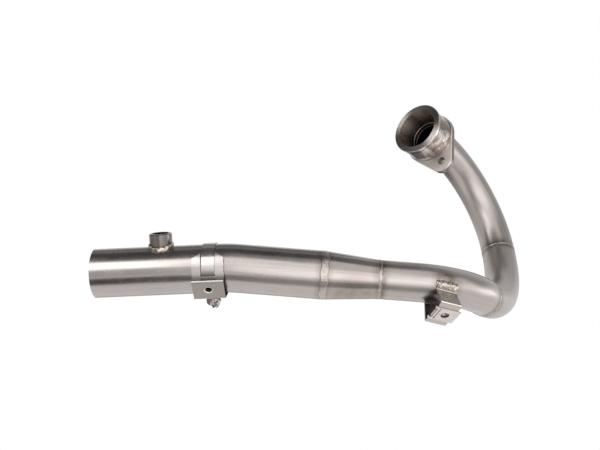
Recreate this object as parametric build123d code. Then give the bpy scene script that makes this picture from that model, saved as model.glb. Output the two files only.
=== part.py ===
"""Motorcycle exhaust header: one bent pipe with head flange, reducer, sensor boss and two shield mounts.

Millimetres, +Z up. The origin is the centre of the inlet face on the head flange. The rear pipe runs
along X with its outlet at the -X end, and the sensor boss stands on it along +Z.
"""

import os
from math import asin, cos, degrees, hypot, radians, sin

from build123d import *

# Tubes
HEADER_OD = 40.0
REAR_OD = 50.0
WALL = 1.2

# Route from the tail outlet to the head: straight lengths, and the twist, radius and angle of each bend
TAIL_LENGTH = 128.4
KNEE_TWIST_ANGLE = 177.1
KNEE_RADIUS = 148.0
KNEE_BEND_ANGLE = 7.0
REAR_LENGTH = 87.3
CONE_LENGTH = 56.5
LOWER_LENGTH = 38.3
LOWER_TWIST_ANGLE = 67.1
LOWER_RADIUS = 96.8
LOWER_BEND_ANGLE = 54.4
JOINT_TANGENT = 3.0
ELBOW_TWIST_ANGLE = 74.9
ELBOW_RADIUS = 113.0
ELBOW_BEND_ANGLE = 75.7
UPPER_TWIST_ANGLE = -6.5
UPPER_RADIUS = 101.8
UPPER_BEND_ANGLE = 97.4
HEAD_LENGTH = 47.1

# Head flange
RING_OD = 63.2
RING_THICKNESS = 2.8
RING_CHAMFER = 0.4
LIP_DIAMETER = 49.2
THROAT_DEPTH = 24.2
THROAT_STEP = 0.3
THROAT_LAND = 5.0
THROAT_LEDGE = 0.6
HUB_OD = 60.8
HUB_LENGTH = 28.0
PLATE_THICKNESS = 6.4
PLATE_OD = 64.0
EAR_RADIUS = 13.9
EAR_TURN_ANGLE = 12.0
STUD_SPACING = 82.0
STUD_HOLE = 9.0
PLATE_CHAMFER = 0.5
SOCKET_CLEARANCE = 0.05

# Weld beads
FLANGE_WELD_LEG = 4.5
JOINT_WELD_WIDTH = 3.6
JOINT_WELD_CROWN = 0.3
CONE_REAR_WELD_WIDTH = 9.0
CONE_REAR_WELD_CROWN = 0.45
CONE_FRONT_WELD_WIDTH = 3.6
CONE_FRONT_WELD_CROWN = 0.35
BOSS_WELD_LEG = 3.2
BOSS_WELD_TOE = 0.4

# Sensor boss, bored for an M18 x 1.5 thread
BOSS_TO_CLAMP = 49.7
BOSS_OD = 23.0
BOSS_HEIGHT = 13.7
BOSS_BORE = 16.5
BOSS_CHAMFER = 0.8
PROBE_HOLE = 18.5

# Strap clamp
CLAMP_TO_KNEE = 9.8
BAND_WIDTH = 12.7
BAND_THICKNESS = 1.4
BAND_CLEARANCE = 0.05
LUG_GAP = 7.0
LUG_DROP = 11.2
LUG_CORNER = 4.5
LUG_SCREW_DROP = 8.2
LUG_SCREW_SIDE = 2.8
SCREW_OD = 5.0
SCREW_HOLE = 5.4
SCREW_HEAD_FLATS = 9.0
SCREW_HEAD_HEIGHT = 4.0
SCREW_SLOT_WIDTH = 1.4
SCREW_SLOT_DEPTH = 1.8
SCREW_END = 3.0
NUT_FLATS = 8.0
NUT_HEIGHT = 4.0
THREAD_CLEARANCE = 0.05

# Saddle bracket held by the strap
SADDLE_SHEET = 1.2
SADDLE_WIDTH = 31.6
SADDLE_TOP_ANGLE = 48.0
SADDLE_FOLD_ANGLE = -9.0
SADDLE_WING_DROP = 5.0
SADDLE_WINDOW_CLEARANCE = 0.8
SADDLE_WINDOW_EDGE = 1.8
SADDLE_SHELF_OUT = 8.0
SADDLE_SHELF_FALL = 1.6
SADDLE_PLATE_BACK = 13.0
SADDLE_LEG_REACH = 25.0
SADDLE_SEAT = 0.3
SADDLE_FOLD_RADIUS = 1.6
SADDLE_LEG_WINDOW_START = 10.0
SHIELD_HOLE = 8.6
SADDLE_NUT_FLATS = 12.0
SADDLE_NUT_HEIGHT = 2.6
PILOT_CLEARANCE = 0.1
PILOT_CHAMFER = 0.5
M8_BORE = 6.7

# Welded shield bracket on the lower bend
BRACKET_STATION_ANGLE = 14.2
BRACKET_TURN_ANGLE = -154.3
BRACKET_TILT_ANGLE = -5.7
BRACKET_SHEET = 1.5
BRACKET_WIDTH = 22.0
BRACKET_SEAT = 0.1
BRACKET_FOOT_TOP = 5.0
BRACKET_FOOT_BOTTOM = -2.0
BRACKET_SHELF_OUT = 18.2
BRACKET_SHELF_FALL = 7.8
BRACKET_LIP_BACK = 2.2
BRACKET_LIP_FALL = 4.7
BRACKET_PLATE_LENGTH = 29.2
BRACKET_PLATE_LEAN_ANGLE = 40.8
BRACKET_HOLE_DOWN = 11.2
BRACKET_HOLE_SIDE = 1.2
BRACKET_LEG_BACK = 17.1
BRACKET_LEG_RISE = 19.1
BRACKET_FOLD_RADIUS = 1.4
BRACKET_WELD_RADIUS = 3.7
BRACKET_WELD_NECK = 2.9
BRACKET_WELD_DROP = 0.8
BRACKET_WELD_COUNT = 4

# Clip nut pushed over the edge of the shield bracket
CLIP_SHEET = 0.8
CLIP_WIDTH = 20.0
CLIP_CLEARANCE = 0.1
CLIP_NOSE = 0.1
CLIP_OVERHANG = 3.0
CLIP_BACK_LENGTH = 8.0
CLIP_COLLAR_OD = 10.0
CLIP_COLLAR_LENGTH = 4.0
CLIP_SLOT_LENGTH = 12.0
CLIP_SLOT_WIDTH = 1.6
CLIP_SLOT_INSET = 1.75

# Sizes that follow from the ones above
HEADER_R = HEADER_OD / 2
REAR_R = REAR_OD / 2
CONE_SLOPE = (REAR_R - HEADER_R) / CONE_LENGTH
SOCKET_DEPTH = THROAT_DEPTH + THROAT_LAND
FLANGE_LENGTH = HUB_LENGTH + PLATE_THICKNESS
CLAMP_AT = TAIL_LENGTH - CLAMP_TO_KNEE
BOSS_AT = CLAMP_AT - BOSS_TO_CLAMP
BAND_INNER_R = REAR_R + BAND_CLEARANCE
BAND_OUTER_R = BAND_INNER_R + BAND_THICKNESS
UPRIGHT = (Align.CENTER, Align.CENTER, Align.MIN)
MATCH = 0.01


def ahead(station, length):
    """Station reached by a straight length of tube."""
    return station * Pos(0, 0, length)


def around(station, turn, radius, angle):
    """Station reached by a bend: turn the tube, then bend it towards its own X."""
    return station * Rot(0, 0, turn) * Pos(radius, 0, 0) * Rot(0, angle, 0) * Pos(-radius, 0, 0)


def section(station):
    """Frame across the tube, with X away from the bike, Y up and Z back towards the tail."""
    return station * Rot(0, 0, 90) * Rot(180, 0, 0)


def route(start):
    """Every station along the centreline, from the tail outlet to the inlet face."""
    at = {"tail": start}
    at["boss"] = ahead(start, BOSS_AT)
    at["clamp"] = ahead(start, CLAMP_AT)
    at["knee"] = ahead(start, TAIL_LENGTH)
    at["rear"] = around(at["knee"], KNEE_TWIST_ANGLE, KNEE_RADIUS, KNEE_BEND_ANGLE)
    at["cone"] = ahead(at["rear"], REAR_LENGTH)
    at["lower"] = ahead(at["cone"], CONE_LENGTH)
    at["lower_bend"] = ahead(at["lower"], LOWER_LENGTH)
    at["bracket"] = around(at["lower_bend"], LOWER_TWIST_ANGLE, LOWER_RADIUS, BRACKET_STATION_ANGLE)
    at["lower_end"] = around(at["lower_bend"], LOWER_TWIST_ANGLE, LOWER_RADIUS, LOWER_BEND_ANGLE)
    at["elbow"] = ahead(at["lower_end"], JOINT_TANGENT)
    at["elbow_bend"] = ahead(at["elbow"], JOINT_TANGENT)
    at["elbow_end"] = around(at["elbow_bend"], ELBOW_TWIST_ANGLE, ELBOW_RADIUS, ELBOW_BEND_ANGLE)
    at["upper"] = ahead(at["elbow_end"], JOINT_TANGENT)
    at["upper_bend"] = ahead(at["upper"], JOINT_TANGENT)
    at["upper_end"] = around(at["upper_bend"], UPPER_TWIST_ANGLE, UPPER_RADIUS, UPPER_BEND_ANGLE)
    at["mouth"] = ahead(at["upper_end"], HEAD_LENGTH)
    return at


def place_route():
    """Walk the route once to find the inlet, then again so that the inlet is the origin."""
    outlet = Plane(origin=(0, 0, 0), x_dir=(0, 0, 1), z_dir=(1, 0, 0)).location
    inlet = route(outlet)["mouth"].position
    return route(Pos(-inlet.X, -inlet.Y, -inlet.Z) * outlet)


AT = place_route()


def tube_wall(diameter):
    return Circle(diameter / 2) - Circle(diameter / 2 - WALL)


def straight(station, profile, length):
    return station * extrude(profile, length)


def bend(station, profile, turn, radius, angle):
    hinge = Axis((radius, 0, 0), (0, 1, 0))
    return station * Rot(0, 0, turn) * revolve(profile, hinge, angle)


def rear_pipe():
    wall = tube_wall(REAR_OD)
    pipe = straight(AT["tail"], wall, TAIL_LENGTH)
    pipe += bend(AT["knee"], wall, KNEE_TWIST_ANGLE, KNEE_RADIUS, KNEE_BEND_ANGLE)
    pipe += straight(AT["rear"], wall, REAR_LENGTH)
    probe = Cylinder(PROBE_HOLE / 2, REAR_OD, align=UPRIGHT)
    return pipe - AT["boss"] * Rot(0, 90, 0) * probe


def reducer_cone():
    outside = Cone(REAR_R, HEADER_R, CONE_LENGTH, align=UPRIGHT)
    inside = Cone(REAR_R - WALL, HEADER_R - WALL, CONE_LENGTH, align=UPRIGHT)
    return AT["cone"] * (outside - inside)


def lower_pipe():
    wall = tube_wall(HEADER_OD)
    pipe = straight(AT["lower"], wall, LOWER_LENGTH)
    pipe += bend(AT["lower_bend"], wall, LOWER_TWIST_ANGLE, LOWER_RADIUS, LOWER_BEND_ANGLE)
    return pipe + straight(AT["lower_end"], wall, JOINT_TANGENT)


def elbow():
    wall = tube_wall(HEADER_OD)
    pipe = straight(AT["elbow"], wall, JOINT_TANGENT)
    pipe += bend(AT["elbow_bend"], wall, ELBOW_TWIST_ANGLE, ELBOW_RADIUS, ELBOW_BEND_ANGLE)
    return pipe + straight(AT["elbow_end"], wall, JOINT_TANGENT)


def upper_bend():
    wall = tube_wall(HEADER_OD)
    pipe = straight(AT["upper"], wall, JOINT_TANGENT)
    pipe += bend(AT["upper_bend"], wall, UPPER_TWIST_ANGLE, UPPER_RADIUS, UPPER_BEND_ANGLE)
    return pipe + straight(AT["upper_end"], wall, HEAD_LENGTH - SOCKET_DEPTH)


def turned(outline):
    """Solid turned about Z from a closed outline of (radius, height) edges."""
    return revolve(Plane.XZ * make_face(outline), Axis.Z)


def flange_plate():
    """Two-eared plate: tangents run from the round middle to each stud ear."""
    middle = Circle(PLATE_OD / 2).edges()
    ears = [Pos(side * STUD_SPACING / 2, 0) * Circle(EAR_RADIUS) for side in (1, -1)]
    outline = make_hull([*middle, *ears[0].edges(), *ears[1].edges()])
    holes = [Pos(side * STUD_SPACING / 2, 0) * Circle(STUD_HOLE / 2) for side in (1, -1)]
    plate = extrude(outline, PLATE_THICKNESS)
    rims = plate.faces().filter_by(Axis.Z).edges()
    plate = chamfer(rims, PLATE_CHAMFER)
    return plate - extrude(Sketch() + holes, PLATE_THICKNESS)


def head_flange():
    ring_r = RING_OD / 2
    hub_r = HUB_OD / 2
    throat_r = HEADER_R - WALL + THROAT_STEP
    socket_r = HEADER_R + SOCKET_CLEARANCE
    hub = turned(
        Polyline(
            (LIP_DIAMETER / 2, 0),
            (ring_r - RING_CHAMFER, 0),
            (ring_r, -RING_CHAMFER),
            (ring_r, -RING_THICKNESS),
            (hub_r, -RING_THICKNESS),
            (hub_r, -FLANGE_LENGTH),
            (socket_r, -FLANGE_LENGTH),
            (socket_r, -SOCKET_DEPTH),
            (throat_r, -SOCKET_DEPTH),
            (throat_r, -THROAT_DEPTH),
            (throat_r + THROAT_LEDGE, -THROAT_DEPTH),
            close=True,
        )
    )
    bore = Cylinder(socket_r, PLATE_THICKNESS, align=UPRIGHT)
    plate = Pos(0, 0, -FLANGE_LENGTH) * (Rot(0, 0, EAR_TURN_ANGLE) * flange_plate() - bore)
    return AT["mouth"] * (hub + plate)


def bead(station, before, after, width, crown):
    """Ridged ring over a butt joint. before and after give the tube radius at a height."""
    half = width / 2
    low = (before(-half), -half)
    high = (after(half), half)
    ring = turned(Polyline(low, (before(0), 0), high, (before(0) + crown, 0), close=True))
    return station * ring.clean()


def header_surface(height):
    return HEADER_R


def rear_surface(height):
    return REAR_R


def cone_from_rear(height):
    return REAR_R - CONE_SLOPE * height


def cone_to_header(height):
    return HEADER_R - CONE_SLOPE * height


def joint_weld(station):
    return bead(station, header_surface, header_surface, JOINT_WELD_WIDTH, JOINT_WELD_CROWN)


def cone_rear_weld():
    return bead(AT["cone"], rear_surface, cone_from_rear, CONE_REAR_WELD_WIDTH, CONE_REAR_WELD_CROWN)


def cone_front_weld():
    return bead(AT["lower"], cone_to_header, header_surface, CONE_FRONT_WELD_WIDTH, CONE_FRONT_WELD_CROWN)


def flange_weld():
    """Fillet weld in the corner between the tube and the back of the flange."""
    leg = FLANGE_WELD_LEG
    corner = Polyline((HEADER_R, -leg), (HEADER_R, 0), (HEADER_R + leg, 0), close=True)
    return ahead(AT["mouth"], -FLANGE_LENGTH) * turned(corner)


def boss_frame():
    """Frame on the pipe axis with Z up through the boss and X back along the pipe."""
    return AT["boss"] * Rot(0, 90, 0)


def pipe_core(radius):
    """Solid bar along the pipe, seen from the boss frame."""
    return Rot(0, 90, 0) * Cylinder(radius, 2 * BOSS_OD + REAR_OD)


def sensor_boss():
    top = REAR_R + BOSS_HEIGHT
    boss = Cylinder(BOSS_OD / 2, top, align=UPRIGHT)
    boss = chamfer(boss.edges().sort_by(Axis.Z)[-1], BOSS_CHAMFER)
    boss -= Cylinder(BOSS_BORE / 2, top, align=UPRIGHT)
    circles = boss.edges().filter_by(GeomType.CIRCLE)
    inner_rim = circles.filter_by(lambda rim: abs(rim.radius - BOSS_BORE / 2) < MATCH)
    boss = chamfer(inner_rim.sort_by(Axis.Z)[-1], BOSS_CHAMFER)
    return boss_frame() * (boss - pipe_core(REAR_R))


def boss_weld():
    """Fillet weld that follows the saddle where the boss meets the pipe."""
    outer_r = BOSS_OD / 2 + BOSS_WELD_LEG
    crest_r = REAR_R + BOSS_WELD_LEG
    weld = pipe_core(crest_r) & Cylinder(outer_r, REAR_OD, align=UPRIGHT)
    weld -= pipe_core(REAR_R)
    weld -= Cylinder(BOSS_OD / 2, REAR_OD, align=UPRIGHT)
    reach = outer_r + crest_r
    rim = weld.edges().filter_by(lambda edge: boss_reach(edge) > reach - MATCH)
    return boss_frame() * chamfer(rim, BOSS_WELD_LEG - BOSS_WELD_TOE)


def boss_reach(edge):
    """Distance of an edge from the boss axis plus its distance from the pipe axis."""
    middle = edge @ 0.5
    return hypot(middle.X, middle.Y) + hypot(middle.Y, middle.Z)


def folded(points, radius, sheet, width):
    """Folded sheet: a polyline with rounded folds, given its thickness and its width along Z."""
    return extrude(trace(FilletPolyline(*points, radius=radius), sheet), width / 2, both=True)


def plate_frame(high, low, down):
    """Frame some way down a sloping plate, with Z out of its outer face and X along the fold."""
    length = hypot(low[0] - high[0], low[1] - high[1])
    fall = ((low[0] - high[0]) / length, (low[1] - high[1]) / length)
    spot = (high[0] + down * fall[0], high[1] + down * fall[1], 0)
    return Plane(origin=spot, x_dir=(0, 0, 1), z_dir=(-fall[1], fall[0], 0)).location


def hexagon(flats):
    return RegularPolygon(flats / 2, 6, major_radius=False)


def clamp_frame():
    return section(AT["clamp"])


def screw_frame():
    """Frame on the clamp screw, with Z out of its head and Y up."""
    drop = BAND_OUTER_R + LUG_SCREW_DROP
    return clamp_frame() * Pos(0, -drop, -LUG_SCREW_SIDE) * Rot(0, 90, 0)


def clamp_band():
    """Strap round the pipe whose two ends turn down into screw lugs."""
    middle_r = (BAND_INNER_R + BAND_OUTER_R) / 2
    lug_middle = (LUG_GAP + BAND_THICKNESS) / 2
    gap_angle = degrees(asin(lug_middle / middle_r))
    loop = CenterArc((0, 0), middle_r, gap_angle - 90, 360 - 2 * gap_angle)
    band = extrude(trace(loop, BAND_THICKNESS), BAND_WIDTH / 2, both=True)
    lug_top = -middle_r * cos(radians(gap_angle))
    lug_bottom = -BAND_OUTER_R - LUG_DROP
    outline = Pos(0, (lug_top + lug_bottom) / 2) * Rectangle(BAND_WIDTH, lug_top - lug_bottom)
    outline = fillet(outline.vertices().group_by(Axis.Y)[0], LUG_CORNER)
    lug = Rot(0, 90, 0) * extrude(outline, BAND_THICKNESS / 2, both=True)
    for side in (1, -1):
        band += Pos(side * lug_middle, 0, 0) * lug
    return clamp_frame() * band - screw_frame() * Cylinder(SCREW_HOLE / 2, REAR_OD)


def clamp_screw():
    """Slotted hexagon screw through both lugs."""
    seat = LUG_GAP / 2 + BAND_THICKNESS
    end = seat + NUT_HEIGHT + SCREW_END
    head = Pos(0, 0, seat) * extrude(hexagon(SCREW_HEAD_FLATS), SCREW_HEAD_HEIGHT)
    shank = Pos(0, 0, -end) * Cylinder(SCREW_OD / 2, end + seat, align=UPRIGHT)
    slot = Box(SCREW_SLOT_WIDTH, 2 * SCREW_HEAD_FLATS, 2 * SCREW_SLOT_DEPTH)
    return screw_frame() * (head + shank - Pos(0, 0, seat + SCREW_HEAD_HEIGHT) * slot)


def clamp_nut():
    seat = LUG_GAP / 2 + BAND_THICKNESS
    nut = extrude(hexagon(NUT_FLATS) - Circle(SCREW_OD / 2 + THREAD_CLEARANCE), -NUT_HEIGHT)
    return screw_frame() * Pos(0, 0, -seat) * nut


def saddle_outline():
    """Corners of the saddle section below the wings: fold, shelf edge, plate foot and leg end."""
    wing_r = BAND_OUTER_R + BAND_CLEARANCE + SADDLE_SHEET / 2
    fold = (wing_r * cos(radians(SADDLE_FOLD_ANGLE)), wing_r * sin(radians(SADDLE_FOLD_ANGLE)))
    shelf = (fold[0] + SADDLE_SHELF_OUT, fold[1] - SADDLE_SHELF_FALL)
    foot = (shelf[0] - SADDLE_PLATE_BACK, -REAR_R - SADDLE_SEAT - SADDLE_SHEET / 2)
    leg = (foot[0] - SADDLE_LEG_REACH, foot[1])
    return wing_r, fold, shelf, foot, leg


def saddle_hole_frame():
    """Frame on the hole in the middle of the saddle's plate, seen from the clamp frame."""
    wing_r, fold, shelf, foot, leg = saddle_outline()
    return plate_frame(shelf, foot, hypot(foot[0] - shelf[0], foot[1] - shelf[1]) / 2)


def saddle_bracket():
    """Folded shield mount: two wings beside the strap, a shelf, a sloping plate and a forked leg."""
    wing_r, fold, shelf, foot, leg = saddle_outline()
    wing_arc = CenterArc((0, 0), wing_r, SADDLE_FOLD_ANGLE, SADDLE_TOP_ANGLE - SADDLE_FOLD_ANGLE)
    saddle = extrude(trace(wing_arc, SADDLE_SHEET), SADDLE_WIDTH / 2, both=True)
    saddle += folded((fold, shelf, foot, leg), SADDLE_FOLD_RADIUS, SADDLE_SHEET, SADDLE_WIDTH)
    window = BAND_WIDTH + 2 * SADDLE_WINDOW_CLEARANCE
    over = (Align.CENTER, Align.MIN, Align.CENTER)
    saddle -= Pos(REAR_R, fold[1] + SADDLE_WINDOW_EDGE, 0) * Box(REAR_OD, REAR_OD, window, align=over)
    fork = (Align.MAX, Align.CENTER, Align.CENTER)
    saddle -= Pos(SADDLE_LEG_WINDOW_START, leg[1], 0) * Box(REAR_OD, 4 * SADDLE_SHEET, window, align=fork)
    wing_top = wing_r * sin(radians(SADDLE_TOP_ANGLE))
    slope = Polygon(
        (window / 2, wing_top),
        (SADDLE_WIDTH / 2, wing_top - SADDLE_WING_DROP),
        (SADDLE_WIDTH / 2, REAR_OD),
        (window / 2, REAR_OD),
        align=None,
    )
    cutter = extrude(slope, REAR_OD)
    saddle -= Rot(0, 90, 0) * cutter
    saddle -= Rot(0, 90, 0) * mirror(cutter, Plane.YZ)
    saddle -= saddle_hole_frame() * Cylinder(SHIELD_HOLE / 2, 4 * SADDLE_SHEET)
    return clamp_frame() * saddle


def saddle_nut():
    """M8 weld nut behind the saddle's plate, with a countersunk pilot that fills the hole."""
    bore_r = M8_BORE / 2
    nut = extrude(hexagon(SADDLE_NUT_FLATS), -SADDLE_NUT_HEIGHT)
    nut += Cylinder(SHIELD_HOLE / 2 - PILOT_CLEARANCE, SADDLE_SHEET, align=UPRIGHT)
    nut -= Cylinder(bore_r, 2 * (SADDLE_SHEET + SADDLE_NUT_HEIGHT))
    sink = Cone(bore_r, bore_r + PILOT_CHAMFER, PILOT_CHAMFER, align=UPRIGHT)
    nut -= Pos(0, 0, SADDLE_SHEET - PILOT_CHAMFER) * sink
    return clamp_frame() * saddle_hole_frame() * Pos(0, 0, -SADDLE_SHEET / 2) * nut


def bracket_frame():
    """Frame across the lower bend at the shield bracket, with X away from the bike and Y up."""
    return AT["bracket"] * Rot(0, 0, BRACKET_TURN_ANGLE) * Rot(180, 0, 0) * Rot(BRACKET_TILT_ANGLE, 0, 0)


def lower_bend_core(radius):
    return bend(AT["lower_bend"], Circle(radius), LOWER_TWIST_ANGLE, LOWER_RADIUS, LOWER_BEND_ANGLE)


def bracket_outline():
    """Corners of the bracket section: foot top, foot bottom, shelf edge, lip, plate foot and leg end."""
    foot_x = HEADER_R + BRACKET_SEAT + BRACKET_SHEET / 2
    foot_top = (foot_x, BRACKET_FOOT_TOP)
    foot_bottom = (foot_x, BRACKET_FOOT_BOTTOM)
    shelf = (foot_x + BRACKET_SHELF_OUT, BRACKET_FOOT_BOTTOM - BRACKET_SHELF_FALL)
    lip = (shelf[0] - BRACKET_LIP_BACK, shelf[1] - BRACKET_LIP_FALL)
    lean = radians(BRACKET_PLATE_LEAN_ANGLE)
    toe = (lip[0] - BRACKET_PLATE_LENGTH * sin(lean), lip[1] - BRACKET_PLATE_LENGTH * cos(lean))
    leg = (toe[0] - BRACKET_LEG_BACK, toe[1] + BRACKET_LEG_RISE)
    return foot_top, foot_bottom, shelf, lip, toe, leg


def bracket_hole_frame():
    """Frame on the hole in the bracket's plate, seen from the bracket frame."""
    lip, toe = bracket_outline()[3:5]
    return plate_frame(lip, toe, BRACKET_HOLE_DOWN) * Pos(-BRACKET_HOLE_SIDE, 0, 0)


def shield_bracket():
    """Folded shield mount welded to the pipe by its foot and by the end of its return leg."""
    bracket = folded(bracket_outline(), BRACKET_FOLD_RADIUS, BRACKET_SHEET, BRACKET_WIDTH)
    bracket -= bracket_hole_frame() * Cylinder(SHIELD_HOLE / 2, 4 * BRACKET_SHEET)
    return bracket_frame() * bracket - lower_bend_core(HEADER_R + BRACKET_SEAT)


def bracket_weld():
    """Row of overlapping weld ripples along the top edge of the bracket's foot."""
    foot_top = bracket_outline()[0]
    height = foot_top[1] - BRACKET_WELD_DROP
    pitch = BRACKET_WIDTH / BRACKET_WELD_COUNT
    ripple = Cone(BRACKET_WELD_RADIUS, BRACKET_WELD_NECK, pitch, align=UPRIGHT)
    ripples = Part()
    for index in range(BRACKET_WELD_COUNT):
        ripples += Pos(foot_top[0], height, index * pitch - BRACKET_WIDTH / 2) * ripple
    return bracket_frame() * ripples - lower_bend_core(HEADER_R) - shield_bracket()


def clip_nut():
    """Spring-steel U over the plate's edge: a plain front leaf and a threaded collar behind."""
    edge = BRACKET_WIDTH / 2 + BRACKET_HOLE_SIDE + CLIP_NOSE
    leaf = BRACKET_SHEET / 2 + CLIP_CLEARANCE + CLIP_SHEET / 2
    front_end = BRACKET_HOLE_SIDE - BRACKET_WIDTH / 2 - CLIP_OVERHANG
    profile = Line((front_end, leaf), (edge, leaf))
    profile += ThreePointArc((edge, leaf), (edge + leaf, 0), (edge, -leaf))
    profile += Line((edge, -leaf), (-CLIP_BACK_LENGTH, -leaf))
    clip = Rot(90, 0, 0) * extrude(trace(profile, CLIP_SHEET), CLIP_WIDTH / 2, both=True)
    clip += Pos(0, 0, -leaf) * extrude(Circle(CLIP_COLLAR_OD / 2), -CLIP_COLLAR_LENGTH)
    clip -= Pos(0, 0, leaf) * Cylinder(SHIELD_HOLE / 2, 2 * CLIP_SHEET)
    clip -= Pos(0, 0, -leaf) * Cylinder(M8_BORE / 2, 4 * CLIP_COLLAR_LENGTH)
    slot = Box(CLIP_SLOT_WIDTH, CLIP_SLOT_LENGTH, 2 * CLIP_SHEET)
    clip -= Pos(edge - CLIP_SLOT_INSET, 0, leaf) * slot
    return bracket_frame() * bracket_hole_frame() * clip


PIECES = {
    "rear_pipe": rear_pipe,
    "reducer_cone": reducer_cone,
    "lower_pipe": lower_pipe,
    "elbow": elbow,
    "upper_bend": upper_bend,
    "head_flange": head_flange,
    "sensor_boss": sensor_boss,
    "flange_weld": flange_weld,
    "upper_weld": lambda: joint_weld(AT["upper"]),
    "lower_weld": lambda: joint_weld(AT["elbow"]),
    "cone_front_weld": cone_front_weld,
    "cone_rear_weld": cone_rear_weld,
    "boss_weld": boss_weld,
    "clamp_band": clamp_band,
    "clamp_screw": clamp_screw,
    "clamp_nut": clamp_nut,
    "saddle_bracket": saddle_bracket,
    "saddle_nut": saddle_nut,
    "shield_bracket": shield_bracket,
    "bracket_weld": bracket_weld,
    "clip_nut": clip_nut,
}

os.makedirs("parts", exist_ok=True)
for name, make in PIECES.items():
    export_step(make(), f"parts/{name}.step")
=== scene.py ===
"""Looks of the exhaust header: camera, studio, procedural steels, heat tint, rippled welds and threads."""

from math import cos, radians, sin, sqrt, tau

import bmesh
import bpy
from mathutils import Matrix, Vector
from mathutils.geometry import tessellate_polygon


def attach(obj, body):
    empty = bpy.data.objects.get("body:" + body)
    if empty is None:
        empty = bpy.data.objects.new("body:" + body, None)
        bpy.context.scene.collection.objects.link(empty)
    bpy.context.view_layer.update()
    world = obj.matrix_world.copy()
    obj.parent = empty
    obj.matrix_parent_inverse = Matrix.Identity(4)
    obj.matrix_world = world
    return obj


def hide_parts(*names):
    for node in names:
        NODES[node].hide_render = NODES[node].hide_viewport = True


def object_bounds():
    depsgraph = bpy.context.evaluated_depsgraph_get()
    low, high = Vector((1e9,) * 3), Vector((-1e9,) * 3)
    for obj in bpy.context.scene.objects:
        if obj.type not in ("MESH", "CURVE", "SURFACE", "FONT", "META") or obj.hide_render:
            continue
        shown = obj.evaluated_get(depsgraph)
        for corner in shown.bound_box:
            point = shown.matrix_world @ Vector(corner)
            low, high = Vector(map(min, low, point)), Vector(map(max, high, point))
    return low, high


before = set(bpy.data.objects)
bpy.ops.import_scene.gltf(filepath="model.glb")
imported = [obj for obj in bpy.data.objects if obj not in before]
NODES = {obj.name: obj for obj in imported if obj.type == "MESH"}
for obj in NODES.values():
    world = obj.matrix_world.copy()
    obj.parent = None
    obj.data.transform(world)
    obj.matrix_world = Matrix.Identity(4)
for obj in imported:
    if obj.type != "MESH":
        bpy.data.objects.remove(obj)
CAD_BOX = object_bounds()

# Camera, in the row frame: it looks at the header from its open side, a little from above
CAMERA_PLACE = Vector((-0.1326, -0.8591, 0.0021))
CAMERA_FORWARD = Vector((-0.0165, 0.9912, -0.1316))
CAMERA_UP = Vector((0.0439, 0.1322, 0.9902))
LENS_MM = 42.0
SENSOR_MM = 36.0

# Tubes and their route from the tail to the head, in metres and degrees; a bend is twist, radius, angle
HEADER_R = 0.020
REAR_R = 0.025
WALL = 0.0012
TAIL_LENGTH = 0.1284
BOSS_AT = 0.0689
CLAMP_AT = 0.1186
KNEE = (177.1, 0.148, 7.0)
REAR_LENGTH = 0.0873
CONE_LENGTH = 0.0565
LOWER_LENGTH = 0.0383
LOWER = (67.1, 0.0968, 54.4)
BRACKET_BEND = (*LOWER[:2], 14.2)
JOINT_TANGENT = 0.003
ELBOW = (74.9, 0.113, 75.7)
UPPER = (-6.5, 0.1018, 97.4)
HEAD_LENGTH = 0.0471
CONE_SLOPE = (REAR_R - HEADER_R) / CONE_LENGTH

# Head flange
LIP_R = 0.0246
THROAT_DEPTH = 0.0242
SOCKET_DEPTH = 0.0292
HUB_LENGTH = 0.028
FLANGE_LENGTH = 0.0344
EAR_TURN = 12.0
STUD_REACH = 0.041
STUD_HOLE_R = 0.0045

# Butt welds: width, crown height and ripple pitch, and how much these wander round the bead
JOINT_WELD = (0.0028, 0.00022, 0.0016)
CONE_REAR_WELD = (0.0080, 0.00022, 0.0034)
CONE_FRONT_WELD = (0.0034, 0.0003, 0.0017)
WIDTH_WANDER = 0.12
PLACE_WANDER = 0.10
CROWN_WANDER = 0.3

# Fillet welds; a pair for the boss is the least, along the pipe, and what is added down the pipe's sides
FLANGE_WELD_LEG = 0.0045
FLANGE_WELD_CROWN = 0.0007
FLANGE_RIPPLES = 58
BOSS_WELD_LEG = 0.0032
BOSS_WELD_CLIMB = 0.0016
BOSS_WELD_ROOT = 0.0006
BOSS_WELD_FOOT = (0.45, 0.6)
BOSS_WELD_CROWN = (0.0010, 0.0008)
BOSS_RIPPLES = 15
BRACKET_WELD_LIFT = 0.0038
BRACKET_WELD_FALL = 0.0058
BRACKET_WELD_CROWN = 0.0030
BRACKET_WELD_PAST = 0.0018
BRACKET_WELD_SUNK = 0.0002
BRACKET_ROOT_IN = 0.0016
BRACKET_ROOT_DROP = 0.0004
BRACKET_ROOT_SUNK = 0.0005
BRACKET_RIPPLES = 5

# Weld meshes: spans across a bead, steps in a ripple, and a ripple's depth as a share of the crown
WELD_ACROSS = 8
WELD_STEPS = 6
BRACKET_STEPS = 12
SMOOTH_RIPPLE = 0.35
DEEP_RIPPLE = 0.6
BOSS_LUMPS = 0.8
BRACKET_LUMPS = 0.5
RIPPLE_BOW = 0.6

# Sensor boss; a thread is its pitch and depth
BOSS_R = 0.0115
BOSS_HEIGHT = 0.0137
BOSS_BORE_R = 0.00825
BOSS_CHAMFER = 0.0008
BOSS_THREAD = (0.0015, 0.0007)
BOSS_TURNS = 9

# Shield bracket: its foot, and how its shelf and its lip run in its own frame
BRACKET_TURN = -154.3
BRACKET_TILT = -5.7
BRACKET_HALF = 0.011
FOOT_FACE = 0.0216
FOOT_TOP = 0.005
SHELF_SLOPE = (0.0182, -0.0078)
LIP_SLOPE = (-0.0022, -0.0047)

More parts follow.
